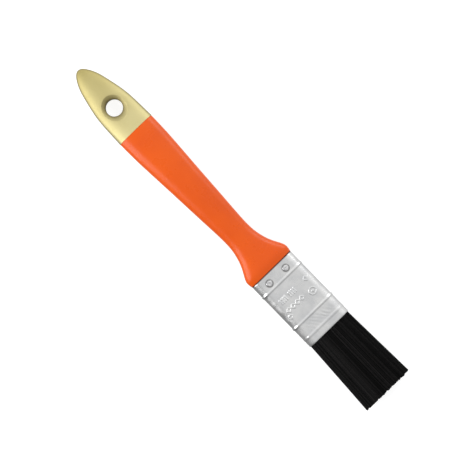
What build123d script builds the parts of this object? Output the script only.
from build123d import *
import math
import os

os.makedirs("parts", exist_ok=True)

# A 25 mm flat paint brush, lying on its broad face. Sizes are in millimetres and degrees.
# X runs along the brush from the handle's tip (-) to the bristle tips (+), Y across it, Z up.
# The origin is under the middle of the brush, on the surface that it lies on.

# Lengths along the brush
overall_length = 211.3
handle_length = 131.6      # tip of the handle to the ferrule
ferrule_length = 39.1
gold_length = 39.4         # how far the tip was dipped
tenon_length = 12.0        # handle inside the ferrule
resin_length = 6.0

# Handle: distance from its tip, half width, half thickness, squareness of the section (2 is an ellipse)
handle_stations = [
    (0.5, 1.55, 1.25, 2.0),
    (2.0, 3.05, 2.2, 2.0),
    (5.0, 4.85, 3.0, 2.05),
    (10.5, 6.8, 3.7, 2.1),
    (18.5, 8.65, 4.25, 2.2),
    (28.0, 9.75, 4.75, 2.3),
    (40.0, 10.17, 5.3, 2.4),
    (58.0, 9.6, 5.85, 2.5),
    (78.0, 8.45, 5.75, 2.5),
    (96.0, 7.45, 5.35, 2.5),
    (107.5, 6.95, 5.15, 2.5),
    (114.5, 7.55, 5.25, 2.6),
    (120.5, 9.35, 5.55, 2.8),
    (126.0, 12.15, 5.9, 3.1),
    (128.7, 13.0, 6.0, 3.3),
    (130.4, 12.9, 5.85, 3.4),
    (131.6, 12.4, 5.45, 3.5),
]
section_points = 24
coat = 0.25                # lacquer and gold, as solid layers

# Hang hole
hole_from_tip = 24.8
hole_radius = 4.15
hole_wall_length = 4.5     # straight wall between the two countersinks
countersink_depth = 4.0    # far enough to pass the handle's faces

# Ferrule
ferrule_width = 25.0
ferrule_thickness = 11.0
ferrule_corner = 3.8
sheet = 0.4
bead_places = (7.1, 27.8, 35.1)    # from the ferrule's handle end
bead_radius = 0.8
bead_height = 0.3
seam_width = 0.5
seam_depth = 0.15

# Nails
nail_place = 4.0           # from the ferrule's handle end
nail_spacing = 10.6
nail_head_radius = 1.65
nail_head_height = 0.45
nail_shoulder = (1.32, 0.28)       # a point on the head's curve: distance from the axis, height
nail_radius = 0.7
nail_length = 4.6
nail_point = 1.4
dimple_radius = 0.6
dimple_depth = 0.15

# Tuft
tip_width = 27.9
tip_thickness = 9.4
tip_corner = 3.6
bend_place = 6.0           # bend line in front of the mouth, 0.15 of the free length
bend_clearance = 0.3
spacer_width = 19.0
spacer_thickness = 2.4
spacer_end_thickness = 1.2
spacer_setback = 3.0       # spacer's end inside the mouth
reservoir_end_thickness = 0.4

# Places on the brush
mid_height = max(station[2] for station in handle_stations)
tip_x = -overall_length / 2
gold_x = tip_x + gold_length
hole_x = tip_x + hole_from_tip
ferrule_x = tip_x + handle_length
tenon_x = ferrule_x + tenon_length
root_x = tenon_x + resin_length
mouth_x = ferrule_x + ferrule_length
bend_x = mouth_x + bend_place
bristle_tip_x = overall_length / 2
inner_width = ferrule_width - 2 * sheet
inner_thickness = ferrule_thickness - 2 * sheet
inner_corner = ferrule_corner - sheet
knuckle_radius = inner_thickness / 2
spacer_end_x = mouth_x - spacer_setback
nail_x = ferrule_x + nail_place


def across(x):
    """The plane across the brush at x: its local x is Y, its local y is up."""
    return Plane(origin=(x, 0, mid_height), x_dir=(0, 1, 0), z_dir=(1, 0, 0))


def lengthwise(x=0):
    """The upright plane along the middle of the brush, measured from x: its local y is up."""
    return Plane(origin=(x, 0, mid_height), x_dir=(1, 0, 0), z_dir=(0, -1, 0))


def rounded_sleeve(start, end, width, thickness, corner):
    """A straight bar with a rounded rectangular section, from start to end along the brush."""
    with BuildPart() as bar:
        with BuildSketch(across(start)):
            RectangleRounded(width, thickness, corner)
        extrude(amount=end - start)
    return bar.part


def oval(half_width, half_thickness, squareness):
    """Points round a superellipse, which is flatter on its faces as squareness rises."""
    points = []
    for i in range(section_points):
        angle = 2 * math.pi * i / section_points
        side = math.cos(angle)
        up = math.sin(angle)
        reach = (abs(side) ** squareness + abs(up) ** squareness) ** (-1 / squareness)
        points.append((half_width * reach * side, half_thickness * reach * up))
    return points


def handle_section(station, skin):
    """One cross-section of the handle, inside a skin of the given thickness."""
    distance, half_width, half_thickness, squareness = station
    with BuildSketch(across(tip_x + distance)) as section:
        with BuildLine():
            Spline(*oval(half_width - skin, half_thickness - skin, squareness), periodic=True)
        make_face()
    return section.sketch


def handle_body(skin):
    """The handle from its tip to the ferrule, inside a skin of the given thickness."""
    with BuildPart() as body:
        loft([Vertex(tip_x + skin, 0, mid_height)] + [handle_section(s, skin) for s in handle_stations])
    return body.part


def hang_hole(skin):
    """What is cut for the hang hole: a straight wall with a countersink from each face."""
    radius = hole_radius + skin
    wall = hole_wall_length / 2
    end = wall + countersink_depth
    with BuildPart() as hole:
        with BuildSketch(lengthwise(hole_x)):
            with BuildLine():
                Polyline(
                    (0, -end),
                    (radius + countersink_depth, -end),
                    (radius, -wall),
                    (radius, wall),
                    (radius + countersink_depth, end),
                    (0, end),
                    close=True,
                )
            make_face()
        revolve(axis=Axis((hole_x, 0, 0), (0, 0, 1)))
    return hole.part


def bead(place, radius):
    """A round ring under the ferrule's skin, so that its outside stands proud as a bead."""
    depth = bead_radius - bead_height
    width = ferrule_width - 2 * depth
    thickness = ferrule_thickness - 2 * depth
    with BuildSketch(across(ferrule_x + place)) as outline:
        RectangleRounded(width, thickness, ferrule_corner - depth)
    path = outline.sketch.wire()
    with BuildPart() as ring:
        with BuildSketch(Plane(origin=path @ 0, z_dir=path % 0)):
            Circle(radius)
        sweep(path=path)
    return ring.part


def finish(part, name):
    """Label a finished piece and write it."""
    part.label = name
    export_step(part, f"parts/{name}.step")


# Nails: two through the front of the ferrule, two through the back
nail_bodies = []
for face_name, side in (("front", 1), ("back", -1)):
    for hand, y in (("left", nail_spacing / 2), ("right", -nail_spacing / 2)):
        surface = Plane(
            origin=(nail_x, y, mid_height + side * ferrule_thickness / 2),
            x_dir=(1, 0, 0),
            z_dir=(0, -side, 0),
        )
        with BuildPart() as nail:
            with BuildSketch(surface):
                with BuildLine():
                    Polyline(
                        (0, nail_head_height - dimple_depth),
                        (0, -nail_length),
                        (nail_radius, nail_point - nail_length),
                        (nail_radius, 0),
                        (nail_head_radius, 0),
                    )
                    ThreePointArc(
                        (nail_head_radius, 0),
                        nail_shoulder,
                        (dimple_radius, nail_head_height),
                    )
                    Line((dimple_radius, nail_head_height), (0, nail_head_height - dimple_depth))
                make_face()
            revolve(axis=Axis((nail_x, y, 0), (0, 0, 1)))
        finish(nail.part, f"{face_name}_nail_{hand}")
        nail_bodies.append(nail.part)

# Handle core: one piece of beech with its tenon, bored for the nails and the hang hole
with BuildPart() as handle_core:
    add(handle_body(coat))
    add(rounded_sleeve(ferrule_x, tenon_x, inner_width, inner_thickness, inner_corner))
    add(hang_hole(coat), mode=Mode.SUBTRACT)
    for body in nail_bodies:
        add(body, mode=Mode.SUBTRACT)
finish(handle_core.part, "handle_core")

# The two coats on the core meet at a line straight across the handle
with BuildPart() as orange_lacquer:
    add(handle_body(0))
    split(bisect_by=Plane(origin=(gold_x, 0, 0), z_dir=(1, 0, 0)), keep=Keep.TOP)
    add(handle_body(coat), mode=Mode.SUBTRACT)
finish(orange_lacquer.part, "orange_lacquer")

with BuildPart() as gold_dip:
    add(handle_body(0))
    split(bisect_by=Plane(origin=(gold_x, 0, 0), z_dir=(1, 0, 0)), keep=Keep.BOTTOM)
    add(hang_hole(0), mode=Mode.SUBTRACT)
    add(handle_core.part, mode=Mode.SUBTRACT)
finish(gold_dip.part, "gold_dip")

# Ferrule: a flat steel sleeve with three beads rolled out of it and a butt seam down its back
with BuildPart() as ferrule:
    add(rounded_sleeve(ferrule_x, mouth_x, ferrule_width, ferrule_thickness, ferrule_corner))
    for place in bead_places:
        add(bead(place, bead_radius))
    add(rounded_sleeve(ferrule_x, mouth_x, inner_width, inner_thickness, inner_corner), mode=Mode.SUBTRACT)
    for place in bead_places:
        add(bead(place, bead_radius - sheet), mode=Mode.SUBTRACT)
    with BuildSketch(Plane.XY.offset(mid_height - ferrule_thickness / 2)):
        with Locations(((ferrule_x + mouth_x) / 2, 0)):
            Rectangle(ferrule_length, seam_width)
    extrude(amount=seam_depth, mode=Mode.SUBTRACT)
    for body in nail_bodies:
        add(body, mode=Mode.SUBTRACT)
finish(ferrule.part, "ferrule")

# Resin: it bonds the root ends of the tuft and fills the ferrule as far as the tenon
with BuildPart() as resin_set:
    add(rounded_sleeve(tenon_x, root_x, inner_width, inner_thickness, inner_corner))
finish(resin_set.part, "resin_set")

# Spacer: a wooden wedge between the two halves of the tuft
with BuildPart() as spacer:
    with BuildSketch(lengthwise()):
        with BuildLine():
            Polyline(
                (root_x, -spacer_thickness / 2),
                (spacer_end_x, -spacer_end_thickness / 2),
                (spacer_end_x, spacer_end_thickness / 2),
                (root_x, spacer_thickness / 2),
                close=True,
            )
        make_face()
    extrude(amount=spacer_width / 2, both=True)
finish(spacer.part, "spacer")

# Reservoir: the empty wedge in front of the spacer, closing as the two halves meet
with BuildPart() as reservoir:
    with BuildSketch(lengthwise()):
        with BuildLine():
            Polyline(
                (spacer_end_x, -spacer_end_thickness / 2),
                (bend_x, -reservoir_end_thickness / 2),
                (bend_x, reservoir_end_thickness / 2),
                (spacer_end_x, spacer_end_thickness / 2),
                close=True,
            )
        make_face()
    extrude(amount=spacer_width / 2, both=True)

# Room for the free tuft to turn in, about the bend line
with BuildPart() as bend_socket:
    with BuildSketch(lengthwise()):
        with Locations((bend_x, 0)):
            Circle(knuckle_radius + bend_clearance)
    extrude(amount=ferrule_width, both=True)

# Free tuft: it widens to the tips, and its root end is round about the bend line
with BuildPart() as whole_tuft:
    with BuildSketch(across(bend_x)) as near_end:
        RectangleRounded(inner_width, inner_thickness, inner_corner)
    with BuildSketch(across(bristle_tip_x)) as far_end:
        RectangleRounded(tip_width, tip_thickness, tip_corner)
    loft([near_end.sketch, far_end.sketch])

with BuildPart() as knuckle:
    with BuildSketch(lengthwise()):
        with Locations((bend_x, 0)):
            Circle(knuckle_radius)
    extrude(amount=ferrule_width, both=True)
    add(
        rounded_sleeve(bend_x - knuckle_radius, bend_x, inner_width, inner_thickness, inner_corner),
        mode=Mode.INTERSECT,
    )

# Each half of the tuft: the roots held by the ferrule, and the free length
middle = Plane.XY.offset(mid_height)
for face_name, kept in (("front", Keep.TOP), ("back", Keep.BOTTOM)):
    with BuildPart() as roots:
        add(rounded_sleeve(root_x, bend_x, inner_width, inner_thickness, inner_corner))
        add(spacer.part, mode=Mode.SUBTRACT)
        add(reservoir.part, mode=Mode.SUBTRACT)
        add(bend_socket.part, mode=Mode.SUBTRACT)
        split(bisect_by=middle, keep=kept)
    finish(roots.part, f"{face_name}_roots")
    with BuildPart() as tuft:
        add(whole_tuft.part)
        add(knuckle.part)
        split(bisect_by=middle, keep=kept)
    finish(tuft.part, f"{face_name}_tuft")
